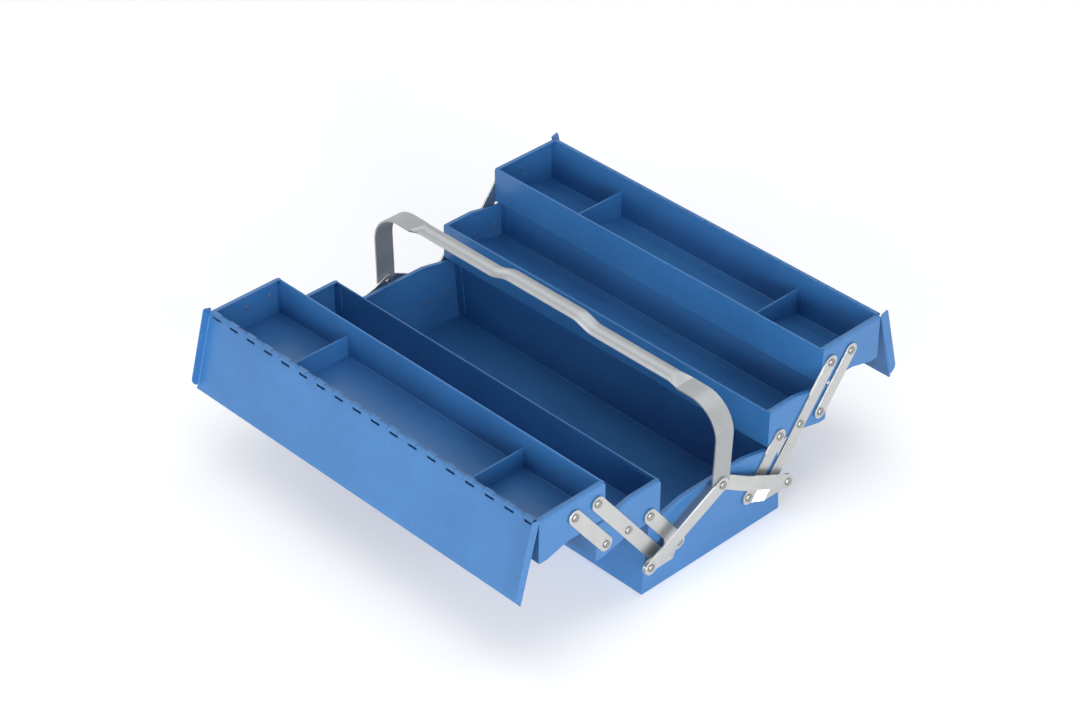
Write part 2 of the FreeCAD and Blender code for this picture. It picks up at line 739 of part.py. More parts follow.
def handle_leg():
    """One leg of the handle: a flat strap with a round foot that bends over into the grip."""
    foot_z = handle_z - handle_end_radius
    top_z = handle_z + handle_rise
    lean_z = handle_z + handle_end_radius
    x = half_length + handle_layer
    splayed = x + handle_splay
    radius = handle_bend_radius
    outline = [(x, foot_z, 0), (x + strap, foot_z, 0), (x + strap, lean_z, handle_lean_radius),
               (splayed + strap, top_z, radius), (grip_half_length, top_z, 0),
               (grip_half_length, top_z - strap, 0), (splayed, top_z - strap, radius - strap),
               (x, lean_z, handle_lean_radius)]
    half = handle_width / 2
    band = panel(outline, -half, handle_width)
    side = [(-half, foot_z, handle_end_radius), (half, foot_z, handle_end_radius),
            (half, top_z + overrun, 0), (-half, top_z + overrun, 0)]
    shadow = prism(side, grip_half_length - overrun, body_length)
    leg = band.common(shadow)
    return leg.cut(disc(hole_radius, x - overrun, strap + 2 * overrun, handle_point))


def grip_section(x, width, crown, top):
    """The curved section of the grip: a strap rolled about X, with its edges turned down."""
    half = width / 2
    radius = (half ** 2 + crown ** 2) / (2 * crown)
    centre = top - radius
    angle = math.asin(half / radius)
    inner = radius - strap
    sides = []
    for r in (radius, inner):
        left = Vector(x, -r * math.sin(angle), centre + r * math.cos(angle))
        right = Vector(x, r * math.sin(angle), centre + r * math.cos(angle))
        sides.append((left, Vector(x, 0, centre + r), right))
    (a, b, c), (d, e, f) = sides
    return Part.Wire([Part.Arc(a, b, c).toShape(), Part.LineSegment(c, f).toShape(),
                      Part.Arc(f, e, d).toShape(), Part.LineSegment(d, a).toShape()])


def grip_height(x):
    """How far the grip is raised at a place along it: a smooth step up to the middle."""
    share = (grip_raise_start - abs(x)) / (grip_raise_start - grip_raise_end)
    share = min(max(share, 0), 1)
    return grip_raise * (1 - math.cos(math.pi * share)) / 2


def make_grip():
    flat_z = handle_z + handle_rise
    places = [grip_half_length - grip_form_length]
    for i in range(grip_raise_steps + 1):
        places.append(grip_raise_start + (grip_raise_end - grip_raise_start) * i / grip_raise_steps)
    places += [-x for x in reversed(places)]
    start_top = flat_z + grip_start_crown / 2
    sections = [grip_section(grip_half_length, handle_width, grip_start_crown, start_top)]
    for x in places:
        sections.append(grip_section(x, grip_width, grip_crown, flat_z + grip_crown + grip_height(x)))
    sections.append(grip_section(-grip_half_length, handle_width, grip_start_crown, start_top))
    return Part.makeLoft(sections, True, True)


def make_handle():
    leg = handle_leg()
    return fused([leg, make_grip(), far_end(leg)])


# The pieces

def save_pair(name, shape):
    """A piece of the back side, and the same piece on the front side."""
    save("back_" + name, shape)
    save("front_" + name, half_turn(shape))


def save_ends(name, near, far):
    """Pieces at both ends of both sides. The back's near piece turns into the front's far one."""
    save("back_" + name + "_near", near)
    save("back_" + name + "_far", far)
    save("front_" + name + "_far", half_turn(near))
    save("front_" + name + "_near", half_turn(far))


save("base_pan", make_base())
base_rivets = [wall_rivet(p) for p in (crank_base, bar_base)]
base_rivets += [far_end(r) for r in base_rivets]
base_rivets += [half_turn(r) for r in base_rivets]
save("base_rivets", Part.makeCompound(base_rivets))

mid_pivots = [crank_mid, bar_mid, outer_mid]
save_pair("middle_tray", make_tray(mid_inner, mid_floor, mid_rim, True, mid_pivots))
mid_rivets = [wall_rivet(p) for p in mid_pivots]
save_pair("middle_tray_rivets", Part.makeCompound(mid_rivets + [far_end(r) for r in mid_rivets]))

top_pivots = [bar_top, outer_top]
save_pair("top_tray", make_tray(top_inner, top_floor, top_rim, False, top_pivots))
top_rivets = [wall_rivet(p) for p in top_pivots]
save_pair("top_tray_rivets", Part.makeCompound(top_rivets + [far_end(r) for r in top_rivets]))
save_ends("divider", make_divider(divider_x), far_end(make_divider(divider_x)))

save_pair("hinge_wire", make_hinge_wire())
save_pair("lid", make_lid())

bar = flat_strap(bar_base, bar_top, link_layer, [bar_base, bar_mid, bar_top], [])
save_ends("bar", bar, far_end(bar))
crank = make_crank()
save_ends("crank", crank, far_end(crank))
outer_link = flat_strap(outer_mid, outer_top, link_layer, [outer_mid], [outer_top])
save_ends("outer_link", outer_link, far_end(outer_link))

# At each end one lever is bent, and the two ends of a side differ.
save_ends("lever", make_lever(True), far_end(make_lever(False)))
save_pair("lever_rivets", Part.makeCompound([lever_rivet(), far_end(lever_rivet())]))
save_pair("crank_rivets", Part.makeCompound([crank_rivet(), far_end(crank_rivet())]))

pin = make_handle_pin()
save("handle_pins", Part.makeCompound([pin, far_end(pin)]))
save("handle", make_handle())

closed_arm = polar(crank_arm_length, crank_arm_angle - closed_angle)
closed_elbow = shifted(crank_base, closed_arm)
closed_handle_z = closed_elbow[1] + math.sqrt(lever_length ** 2 - closed_elbow[0] ** 2)
print("handle rises", round(closed_handle_z - handle_z, 3), "from", round(handle_z, 3))
print("tray travel", round(travel, 3), "lift", round(lift, 3))
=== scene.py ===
# %% [markdown]
# # A steel tool box that opens like an accordion
#
# The box stands wide open: a base, two trays on each side, lids that hang down outside, and a strap
# handle that the links lift. The CAD model already has every sheet, link and rivet in its place, so
# this lesson loads it first and then adds what a camera sees: soft edges, turned rivets, a formed
# handle, paint and plating, and the light of a small studio.

# %% Load the frame
import json
import math

import bpy
from mathutils import Matrix, Vector


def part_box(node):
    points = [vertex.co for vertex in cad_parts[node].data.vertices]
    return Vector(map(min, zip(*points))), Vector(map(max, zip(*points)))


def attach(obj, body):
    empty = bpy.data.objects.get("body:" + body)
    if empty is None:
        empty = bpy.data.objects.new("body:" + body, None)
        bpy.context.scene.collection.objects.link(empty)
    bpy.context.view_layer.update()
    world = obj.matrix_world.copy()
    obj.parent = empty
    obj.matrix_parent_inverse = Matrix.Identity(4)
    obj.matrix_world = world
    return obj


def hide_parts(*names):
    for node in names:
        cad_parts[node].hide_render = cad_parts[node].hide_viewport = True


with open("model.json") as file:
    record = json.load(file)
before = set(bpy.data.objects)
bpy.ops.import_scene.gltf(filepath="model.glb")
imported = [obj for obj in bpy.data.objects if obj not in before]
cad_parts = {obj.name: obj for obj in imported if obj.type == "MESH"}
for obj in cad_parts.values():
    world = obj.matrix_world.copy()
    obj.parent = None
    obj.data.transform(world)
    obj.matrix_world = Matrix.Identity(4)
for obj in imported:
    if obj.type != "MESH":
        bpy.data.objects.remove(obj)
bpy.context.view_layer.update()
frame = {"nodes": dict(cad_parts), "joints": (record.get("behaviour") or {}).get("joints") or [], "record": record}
nodes = frame["nodes"]
bodies = frame["record"]["behaviour"]["bodies"]
bpy.ops.object.select_all(action="DESELECT")

# %% [markdown]
# ## Small tools for the bench
#
# Operators act on whatever is selected, so each step first picks the one object that it works on.
# All sizes below are in millimetres, as on a drawing, and one factor turns them into metres.

# %% Picking, placing and applying
MM = 0.001
SAME_PLACE = 0.01 * MM       # points nearer than this are one point


def pick(piece):
    """Selects one object and nothing else."""
    bpy.ops.object.select_all(action="DESELECT")
    piece.select_set(True)
    bpy.context.view_layer.objects.active = piece


def edit_all(piece):
    """Opens a piece in edit mode with everything selected."""
    pick(piece)
    bpy.ops.object.mode_set(mode="EDIT")
    bpy.ops.mesh.select_all(action="SELECT")


def leave_edit():
    bpy.ops.object.mode_set(mode="OBJECT")


def settle(piece):
    """Puts a piece's place into its mesh, with its object at the origin."""
    pick(piece)
    bpy.ops.object.transform_apply(location=True, rotation=True, scale=True)
    return piece


def apply_modifier(piece, kind, **settings):
    """Adds a modifier with its settings and applies it at once."""
    pick(piece)
    made = piece.modifiers.new(kind.lower(), kind)
    for name, value in settings.items():
        setattr(made, name, value)
    bpy.ops.object.modifier_apply(modifier=made.name)


def even_shading(piece, angle):
    """Smooth shading up to an angle in degrees, with the large faces kept flat."""
    pick(piece)
    bpy.ops.object.shade_smooth_by_angle(angle=math.radians(angle))
    apply_modifier(piece, "WEIGHTED_NORMAL", keep_sharp=True)


print("points nearer than", SAME_PLACE / MM, "mm are merged")

# %% [markdown]
# ## Shader maths as plain sums
#
# A material is a small net of nodes. Written out by hand it hides the idea, so a tiny class wraps a
# socket and lets sums on it add their own Math nodes. Every other node comes from one method.

# %% A socket that can be calculated with
class Signal:
    """A number that changes over a surface."""

    def __init__(self, net, socket):
        self.net = net
        self.socket = socket

    def math(self, operation, first, second):
        values = {0: first, 1: second}
        return self.net.node("ShaderNodeMath", {"operation": operation}, values).out(0)

    def __add__(self, other):
        return self.math("ADD", self, other)

    def __radd__(self, other):
        return self.math("ADD", other, self)

    def __sub__(self, other):
        return self.math("SUBTRACT", self, other)

    def __rsub__(self, other):
        return self.math("SUBTRACT", other, self)

    def __mul__(self, other):
        return self.math("MULTIPLY", self, other)

    def __rmul__(self, other):
        return self.math("MULTIPLY", other, self)

    def __abs__(self):
        return self.math("ABSOLUTE", self, 0.0)

    def over(self, level):
        """One where the signal is above the level, and zero elsewhere."""
        return self.math("GREATER_THAN", self, level)

    def clipped(self, low, high):
        """The signal spread from low to high onto nought to one."""
        values = {"Value": self, "From Min": low, "From Max": high}
        return self.net.node("ShaderNodeMapRange", {"clamp": True}, values).out(0)


print("sums on a signal: + - * abs, over, clipped")

# %% [markdown]
# The net itself keeps the tree of nodes. A finish is a net in a material, with a few helpers that
# the paint and the plating share.

# %% Nets of nodes, and finishes
class Made:
    """A node that was just made."""

    def __init__(self, net, item):
        self.net = net
        self.item = item

    def out(self, which):
        return Signal(self.net, self.item.outputs[which])


class Net:
    """A tree of nodes that starts empty."""

    def __init__(self, tree):
        self.tree = tree
        self.tree.nodes.clear()

    def node(self, kind, settings=None, sockets=None):
        """Adds a node: its settings first, with a ramp's stops among them, then its sockets."""
        item = self.tree.nodes.new(kind)
        for name, value in (settings or {}).items():
            if name == "stops":
                for stop, (place, colour) in zip(item.color_ramp.elements, value):
                    stop.position = place
                    stop.color = colour
            else:
                setattr(item, name, value)
        for name, value in (sockets or {}).items():
            if isinstance(value, Signal):
                self.tree.links.new(value.socket, item.inputs[name])
            else:
                item.inputs[name].default_value = value
        return Made(self, item)


class Finish(Net):
    """A material while it is built."""

    def __init__(self, name):
        self.material = bpy.data.materials.new(name)
        self.material.use_nodes = True
        super().__init__(self.material.node_tree)

    def place(self, stretch=(1, 1, 1)):
        """Object coordinates in metres, stretched along the axes."""
        coordinates = self.node("ShaderNodeTexCoord").out("Object")
        values = {"Vector": coordinates, "Scale": stretch}
        return self.node("ShaderNodeMapping", {}, values).out(0)

    def noise(self, size, detail, stretch=(1, 1, 1)):
        """Soft random blotches of about the given size in millimetres."""
        values = {"Vector": self.place(stretch), "Scale": 1 / (size * MM), "Detail": detail}
        return self.node("ShaderNodeTexNoise", {}, values).out(0)

    def colours(self, factor, first, second):
        """A colour that goes from the first to the second."""
        values = {0: factor, 6: first, 7: second}
        return self.node("ShaderNodeMix", {"data_type": "RGBA"}, values).out(2)

    def bump(self, height, depth, strength):
        """A normal that follows a height of the given depth in millimetres."""
        values = {"Height": height, "Distance": depth * MM, "Strength": strength}
        return self.node("ShaderNodeBump", {}, values).out(0)

    def done(self, surface):
        """Ends the material with a shader's output."""
        self.node("ShaderNodeOutputMaterial", {}, {"Surface": surface.out(0)})
        return self.material


print("a finish has place, noise, colours, bump and done")

# %% [markdown]
# ## Blue baked paint
#
# The sheets are sprayed and baked. Such paint has a faint orange peel, which a camera sees as softly
# broken highlights, small changes of shade where the coat is thicker, and a few dust nibs. So the
# colour drifts between two near blues, the roughness drifts with handling, and two heights feed
# the bump: one for the peel and one for the nibs.

# %% Paint
THIN_BLUE = (0.031, 0.142, 0.358, 1)
FULL_BLUE = (0.040, 0.169, 0.410, 1)
NIB_BLUE = (0.16, 0.32, 0.62, 1)


def blue_paint():
    paint = Finish("blue_paint")
    drift = paint.noise(90, 3.0)
    cloud = paint.noise(14, 4.0)
    peel = paint.noise(1.9, 2.0)
    nib = paint.noise(3.1, 0.0).clipped(0.74, 0.80)
    wipe = paint.noise(7, 3.0, stretch=(0.15, 1, 1))
    shade = drift * 0.7 + cloud * 0.3
    colour = paint.colours(shade.clipped(0.35, 0.65), THIN_BLUE, FULL_BLUE)
    colour = paint.colours(nib * 0.12, colour, NIB_BLUE)
    roughness = 0.27 + wipe * 0.10 + cloud * 0.05 + nib * 0.04
    normal = paint.bump(peel + nib * 0.5, 0.035, 0.35)
    return paint.done(paint.node("ShaderNodeBsdfPrincipled", {}, {
        "Base Color": colour, "Roughness": roughness, "Normal": normal}))


finishes = {"blue_paint": blue_paint()}
print("paint has", len(finishes["blue_paint"].node_tree.nodes), "nodes")

# %% [markdown]
# ## Plating
#
# Links, handle, rivets and hinge wires are rolled steel under a thin bright coat. One recipe serves
# all four: fine lines along the rolling, cloudy patches, a few dull specks and a satin gloss. The
# handle's coat is duller, so it is only partly metallic. The rivets' ends inside the pans are
# painted over with the pans, and a step on the distance from the middle of the box parts the two.

# %% Plated steel
SPECK_GREY = (0.30, 0.30, 0.29, 1)
PAINTED_OVER = (0.05, 0.12, 0.27, 1)
ALONG = (0.2, 1, 1)
FAR_ALONG = (0.1, 1, 1)
EVEN = (1, 1, 1)


def plated(name, bright, dull, smooth, grain, metallic=1.0, painted_within=0):
    """Plated steel, painted over within a distance in millimetres from the middle of the box."""
    metal = Finish(name)
    lines = metal.noise(0.9, 3.0, stretch=grain)
    patch = metal.noise(11, 4.0)
    speck = metal.noise(1.4, 1.0).clipped(0.66, 0.78)
    tone = metal.colours(patch.clipped(0.3, 0.7), dull, bright)
    tone = metal.colours(speck * 0.15, tone, SPECK_GREY)
    roughness = smooth + patch * 0.10 + lines * 0.08 + speck * 0.15
    normal = metal.bump(lines * 0.6 + patch * 0.4, 0.02, 0.4)
    if painted_within:
        along = metal.node("ShaderNodeSeparateXYZ", {}, {"Vector": metal.place()}).out(0)
        bare = abs(along).over(painted_within * MM)
        tone = metal.colours(bare, PAINTED_OVER, tone)
        metallic = bare * metallic
    return metal.done(metal.node("ShaderNodeBsdfPrincipled", {}, {
        "Base Color": tone, "Metallic": metallic, "Roughness": roughness, "Normal": normal}))


finishes["zinc_plate"] = plated(
    "zinc_plate", (0.57, 0.57, 0.555, 1), (0.53, 0.53, 0.516, 1), 0.27, ALONG)
finishes["handle_coat"] = plated(
    "handle_coat", (0.335, 0.35, 0.36, 1), (0.31, 0.325, 0.335, 1), 0.30, FAR_ALONG, metallic=0.6)
finishes["rivet_steel"] = plated(
    "rivet_steel", (0.36, 0.35, 0.335, 1), (0.27, 0.262, 0.25, 1), 0.24, EVEN, painted_within=236.5)
finishes["wire_steel"] = plated(
    "wire_steel", (0.55, 0.55, 0.55, 1), (0.44, 0.44, 0.44, 1), 0.30, FAR_ALONG)
print("finishes:", ", ".join(finishes))

# %% [markdown]
# Every CAD piece gets the finish that the record names for it. A new piece takes the finish and the body of the
# CAD piece that it stands for, and that CAD piece is hidden.

# %% Finishes on the pieces
slot_of = {part["node"]: part["material_slot"] for part in frame["record"]["subparts"]}
for name, slot in slot_of.items():
    nodes[name].data.materials.clear()
    nodes[name].data.materials.append(finishes[slot])


def body_of_node(node):
    return next(body for body, members in bodies.items() if node in members)


def finish_piece(piece, node):
    slot = slot_of[node]
    piece.data.materials.clear()
    piece.data.materials.append(finishes[slot])
    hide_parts(node)
    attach(piece, body_of_node(node))


print("painted or plated", len(slot_of), "pieces")

# %% [markdown]
# ## Rivets
#
# A rivet is turned: everything about it is a ring around its axis. It could be lathed from a drawn
# profile. Here a disc is extruded and resized ring by ring, which shows each step of the shape: the
# clinched tail inside the wall, the shank, and the head with its rounded rim and shallow dish.

# %% A turned piece
RING = 24                    # points around a ring


def turned(name, stations):
    """A round piece along X. Each station is a place along X and a radius."""
    start, first = stations[0]
    bpy.ops.mesh.primitive_circle_add(vertices=RING, radius=first * MM, fill_type="NGON",
                                      location=(start * MM, 0, 0), rotation=(0, math.pi / 2, 0))
    piece = settle(bpy.context.active_object)
    piece.name = name
    edit_all(piece)
    for (x_before, r_before), (x, r) in zip(stations, stations[1:]):
        bpy.ops.mesh.extrude_region_move(
            TRANSFORM_OT_translate={"value": ((x - x_before) * MM, 0, 0)})
        bpy.ops.transform.resize(value=(1, r / r_before, r / r_before),
                                 center_override=(x * MM, 0, 0))
    bpy.ops.mesh.select_all(action="SELECT")
    bpy.ops.mesh.normals_make_consistent(inside=False)
    leave_edit()
    bpy.ops.object.shade_smooth_by_angle(angle=math.radians(40))
    return piece


HEAD = [(0, 3.7), (0.28, 3.8), (0.34, 4.3), (0.75, 4.38), (1.2, 4.05), (1.5, 3.3), (1.6, 2.7),
        (1.55, 2.1), (1.25, 1.7), (1.18, 0.5)]
TAIL = [(-0.35, 0.5), (-0.4, 1.1), (-1.0, 1.5), (-1.1, 2.4), (-0.95, 3.1), (-0.55, 3.48),
        (-0.1, 3.42), (0, 3.3)]
SHANK = 2.5                  # radius


def stations_for(start, end, tail=True, head=True):
    """The rings of a rivet whose shank goes from start to end."""
    rings = [(start + x, r) for x, r in TAIL] if tail else []
    rings += [(start, SHANK), (end, SHANK)]
    rings += [(end + x, r) for x, r in HEAD] if head else []
    return rings


print("a rivet has", len(stations_for(0, 1)), "rings")

# %% [markdown]
# The joints of the box tell where the rivets are. Each kind is turned once, at the near end, at the
# depth of the sheets and links that it holds. Where a lever meets a crank's arm, each of the two
# moving pieces carries its own half of the rivet.

# %% One rivet of each kind
joint_places = {j["name"]: [v / MM for v in j["pos_m"]] for j in frame["joints"] if "pos_m" in j}


def pivot(joint):
    """Y and Z of a joint's axis."""
    x, y, z = joint_places[joint]
    return Vector((y, z))


crank_base = pivot("back_cranks_fold")
bar_base = pivot("back_bars_fold")
bar_mid = pivot("back_middle_tray_level")
bar_top = pivot("back_top_tray_level")
outer_mid = pivot("back_outer_links_fold")
crank_mid = crank_base + bar_mid - bar_base
outer_top = outer_mid + bar_top - bar_mid
lift = pivot("handle_swing")
low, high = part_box("back_lever_rivets")
elbow = Vector(((low.y + high.y) / 2 / MM, (low.z + high.z) / 2 / MM))
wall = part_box("base_pan")[1].x / MM

SHEET = 0.9
LINK_FACE = 2.5              # outer faces of the layers, beyond the end wall
ARM_BACK, ARM_FACE = 7.1, 9.05
LEVER_BACK, LEVER_FACE = 9.6, 11.6
PIN_BACK, PIN_FACE = 4.5, 11.7
wall_rivet = turned("wall_rivet", stations_for(wall - SHEET, wall + LINK_FACE))
lever_half = turned("lever_half", stations_for(wall + LEVER_BACK, wall + LEVER_FACE, tail=False))
crank_half = turned("crank_half", stations_for(wall + ARM_BACK, wall + ARM_FACE, head=False))
handle_pin = turned("handle_pin", stations_for(wall + PIN_BACK, wall + PIN_FACE))
print("end walls at %.2f mm, elbows at %.1f %.1f" % (wall, elbow.x, elbow.y))

# %% [markdown]
# A copy is moved to its pivot, to the front with the sign of Y, and mirrored for the far end. The
# mirror turns the faces inside out, so their normals are worked out again. The copies of one node
# are joined, because they ride on one body.

# %% Copies at every pivot
def copies(model, places, node):
    made = []
    for y, z, side, end in places:
        piece = model.copy()
        piece.data = model.data.copy()
        bpy.context.scene.collection.objects.link(piece)
        move = Matrix.Translation((0, side * y * MM, z * MM))
        piece.matrix_world = move @ Matrix.Diagonal((end, 1, 1, 1))
        settle(piece)
        if end < 0:
            edit_all(piece)
            bpy.ops.mesh.normals_make_consistent(inside=False)
            leave_edit()
        made.append(piece)
    pick(made[0])
    for piece in made:
        piece.select_set(True)
    bpy.ops.object.join()
    joined = bpy.context.active_object
    joined.name = node + "_turned"
    finish_piece(joined, node)


SIDES = (("back", 1), ("front", -1))
ENDS = (1, -1)
base_places = [(p.x, p.y, side, end)
               for p in (crank_base, bar_base) for name, side in SIDES for end in ENDS]
copies(wall_rivet, base_places, "base_rivets")
copies(handle_pin, [(0, lift.y, 1, end) for end in ENDS], "handle_pins")
SIDE_RIVETS = (("middle_tray_rivets", wall_rivet, (crank_mid, bar_mid, outer_mid)),
               ("top_tray_rivets", wall_rivet, (bar_top, outer_top)),
               ("lever_rivets", lever_half, (elbow,)),
               ("crank_rivets", crank_half, (elbow,)))
for side_name, side in SIDES:
    for node, model, points in SIDE_RIVETS:
        places = [(p.x, p.y, side, end) for p in points for end in ENDS]
        copies(model, places, side_name + "_" + node)
for model in (wall_rivet, lever_half, crank_half, handle_pin):
    bpy.data.objects.remove(model)
print("rivets turned and placed")

# %% [markdown]
# ## Links, cranks and levers
#
# These are blanked from flat strip, so their outlines are right already, and modelling them anew
# would bring nothing. Each is taken over from the CAD model as a copy. The copy comes as loose
# triangles, which have to be joined up into clean faces before an edge can be worked on.

# %% Copies of CAD pieces
def loose_copy(node, name):
    """A copy of a CAD piece's mesh, still in loose triangles."""
    piece = nodes[node].copy()
    piece.data = nodes[node].data.copy()
    piece.parent = None
    for key in list(piece.keys()):
        del piece[key]
    piece.name = name
    bpy.context.scene.collection.objects.link(piece)
    return piece


def join_faces(piece):
    """Joins loose triangles up into clean flat faces."""
    edit_all(piece)
    bpy.ops.mesh.remove_doubles(threshold=SAME_PLACE)
    bpy.ops.mesh.dissolve_limited(angle_limit=math.radians(1))
    leave_edit()


FLAT = ("_bar_", "_crank_near", "_crank_far", "_outer_link_", "_lever_near", "_lever_far")
flat_nodes = [node for node in nodes if any(word in node for word in FLAT)]
print("flat pieces:", ", ".join(flat_nodes))

# %% [markdown]
# A blanked and tumbled edge is never knife sharp. A small bevel on every sharp edge gives the thin
# bright line that plated edges show.

# %% Softened edges
EDGE = 0.35                  # width of the bevel
for node in flat_nodes:
    link = loose_copy(node, node + "_soft")
    join_faces(link)
    apply_modifier(link, "BEVEL", width=EDGE * MM, segments=2, limit_method="ANGLE",
                   angle_limit=math.radians(30))
    even_shading(link, 35)
    finish_piece(link, node)
print("softened", len(flat_nodes), "flat pieces")

# %% [markdown]
# ## The handle
#
# One strap is folded down at both ends, and its middle is pressed into a rounded grip that stands
# higher than the flats. Only the half towards +X is shaped, then a mirror adds the other half.
#
# The grip's section is an arc. A circle is cut down to its top, squeezed to the grip's width and
# extruded towards the middle, where it climbs to the raised part along a half wave of a cosine. In
# code, points are chosen by their place, so a helper takes a test and selects what passes it.

# %% The grip
def select_points(piece, test):
    """Selects the points that pass a test on their place in millimetres, in edit mode."""
    if bpy.context.mode == "EDIT_MESH":
        leave_edit()
    pick(piece)
    mesh = piece.data
    chosen = [bool(test(v.co / MM)) for v in mesh.vertices]
    for vertex, value in zip(mesh.vertices, chosen):
        vertex.select = value
    for item in (*mesh.edges, *mesh.polygons):
        item.select = all(chosen[i] for i in item.vertices)
    bpy.context.tool_settings.mesh_select_mode = (True, False, False)
    bpy.ops.object.mode_set(mode="EDIT")


def extrude(dx, dy, dz):
    """Extrudes what is selected by a step in millimetres."""
    bpy.ops.mesh.extrude_region_move(
        TRANSFORM_OT_translate={"value": (dx * MM, dy * MM, dz * MM)})


FLAT_TOP = lift.y + 94.1
ROUND_X = 180.0              # where the rounded section starts
GRIP_HALF = 9.7              # half the grip's width
CROWN = 6.9                  # height of the arc above the flat
ARC = 72                     # degrees on each side of the top
RISE = 6.47
RISE_START, RISE_END, RISE_STEPS = 74, 46, 8
arc_radius = CROWN / (1 - math.cos(math.radians(ARC)))
arc_centre = FLAT_TOP + CROWN - arc_radius
bpy.ops.mesh.primitive_circle_add(vertices=40, radius=arc_radius * MM, fill_type="NOTHING",
                                  location=(ROUND_X * MM, 0, arc_centre * MM),
                                  rotation=(0, math.pi / 2, 0))
handle = settle(bpy.context.active_object)
handle.name = "handle_formed"
lowest = arc_centre + arc_radius * math.cos(math.radians(ARC + 0.5))
select_points(handle, lambda p: p.z < lowest)
bpy.ops.mesh.delete(type="VERT")
bpy.ops.mesh.select_all(action="SELECT")
squeeze = GRIP_HALF / (arc_radius * math.sin(math.radians(ARC)))
bpy.ops.transform.resize(value=(1, squeeze, 1), center_override=(0, 0, 0))
extrude(RISE_START - ROUND_X, 0, 0)
rise_before = 0.0
for step in range(1, RISE_STEPS + 1):
    rise = RISE * (1 - math.cos(math.pi * step / RISE_STEPS)) / 2
    extrude((RISE_END - RISE_START) / RISE_STEPS, 0, rise - rise_before)
    rise_before = rise
extrude(-RISE_END, 0, 0)
leave_edit()
arc = sorted((v.co.copy() for v in handle.data.vertices if abs(v.co.x / MM - ROUND_X) < 0.01),
             key=lambda co: co.y)
print("grip shaped with", len(arc), "points across")

# %% [markdown]
# The flat strap is a plane. Its end edge is spun round the bend, then extruded down the leg, which
# leans in a little, and down the foot. A wide bevel of the two lowest corners rounds the foot.

# %% The strap and its leg
HALF_WIDTH = 12.2
FOLD_X = 193.0               # where the flat strap starts
BEND = 37.0
SHOULDER_X = 249.1           # where strap and leg would meet without the bend
FOOT_X, FOOT_TOP = 246.1, 101.1
FOOT = 2 * HALF_WIDTH
lean = math.atan2(3.0, 81.9)
turn = math.pi / 2 + lean
bend_x = SHOULDER_X - BEND * math.tan(turn / 2)
bpy.ops.mesh.primitive_plane_add(size=1, location=(0, 0, 0))
strap = bpy.context.active_object
edit_all(strap)
bpy.ops.transform.resize(value=((bend_x - FOLD_X) * MM, 2 * HALF_WIDTH * MM, 1),
                         center_override=(0, 0, 0))
bpy.ops.transform.translate(value=((bend_x + FOLD_X) / 2 * MM, 0, FLAT_TOP * MM))
leave_edit()
select_points(strap, lambda p: p.x > bend_x - 0.01)
bpy.ops.mesh.spin(steps=16, angle=-turn, center=(bend_x * MM, 0, (FLAT_TOP - BEND) * MM),
                  axis=(0, 1, 0))
leave_edit()
bend_end = min((v.co.copy() for v in strap.data.vertices), key=lambda co: co.z) / MM
select_points(strap, lambda p: p.z < bend_end.z + 0.01)
extrude(FOOT_X - bend_end.x, 0, FOOT_TOP - bend_end.z)
extrude(0, 0, -FOOT)
leave_edit()
select_points(strap, lambda p: p.z < FOOT_TOP - FOOT + 0.1)
bpy.ops.mesh.bevel(offset=(HALF_WIDTH - 0.01) * MM, segments=12, affect="VERTICES",
                   offset_type="OFFSET")
leave_edit()
print("bend ends at x %.2f z %.2f" % (bend_end.x, bend_end.z))

# %% [markdown]
# Grip and strap meet in a pressed fold. Each corner of the strap is joined to its half of the arc
# by a fan of triangles, and one flat triangle points from the strap to the top of the grip.

# %% The fold between strap and grip
pick(handle)
strap.select_set(True)
bpy.ops.object.join()


def fill(*corners):
    """Closes one triangle between three points."""
    select_points(handle, lambda p: any((p * MM - c).length < 2 * SAME_PLACE for c in corners))
    bpy.ops.mesh.edge_face_add()
    leave_edit()


corner_front = Vector((FOLD_X * MM, -HALF_WIDTH * MM, FLAT_TOP * MM))
corner_back = Vector((FOLD_X * MM, HALF_WIDTH * MM, FLAT_TOP * MM))
middle = len(arc) // 2
fill(corner_front, corner_back, arc[middle])
for i in range(len(arc) - 1):
    fill(corner_front if i < middle else corner_back, arc[i], arc[i + 1])
edit_all(handle)
bpy.ops.mesh.remove_doubles(threshold=SAME_PLACE)
bpy.ops.mesh.normals_make_consistent(inside=False)
leave_edit()
flats = [f for f in handle.data.polygons
         if abs(f.center.z / MM - FLAT_TOP) < 0.1 and FOLD_X < f.center.x / MM < bend_x]
if max(flats, key=lambda f: f.area).normal.z < 0:
    edit_all(handle)
    bpy.ops.mesh.flip_normals()
    leave_edit()
print("half of the handle has", len(handle.data.polygons), "faces")

# %% [markdown]
# The sheet of faces becomes a strap in four steps: a mirror, a thickness on its inner side, the
# holes for the two pins, drilled by one long cylinder, and a small bevel along every edge.

# %% Mirror, thickness, pin holes and soft edges
STRAP = 2.0                  # thickness
HOLE = 2.56                  # radius
apply_modifier(handle, "MIRROR", merge_threshold=0.05 * MM)
apply_modifier(handle, "SOLIDIFY", thickness=STRAP * MM, offset=-1, use_even_offset=True)
bpy.ops.mesh.primitive_cylinder_add(vertices=32, radius=HOLE * MM, depth=0.6,
                                    location=(0, 0, lift.y * MM), rotation=(0, math.pi / 2, 0))
drill = settle(bpy.context.active_object)
apply_modifier(handle, "BOOLEAN", operation="DIFFERENCE", object=drill, solver="EXACT")
bpy.data.objects.remove(drill)
apply_modifier(handle, "BEVEL", width=EDGE * MM, segments=2, limit_method="ANGLE",
               angle_limit=math.radians(40))
even_shading(handle, 25)
finish_piece(handle, "handle")
extent = [max(getattr(v.co, a) for v in handle.data.vertices) / MM for a in "xyz"]
print("handle reaches", [round(v, 2) for v in extent])

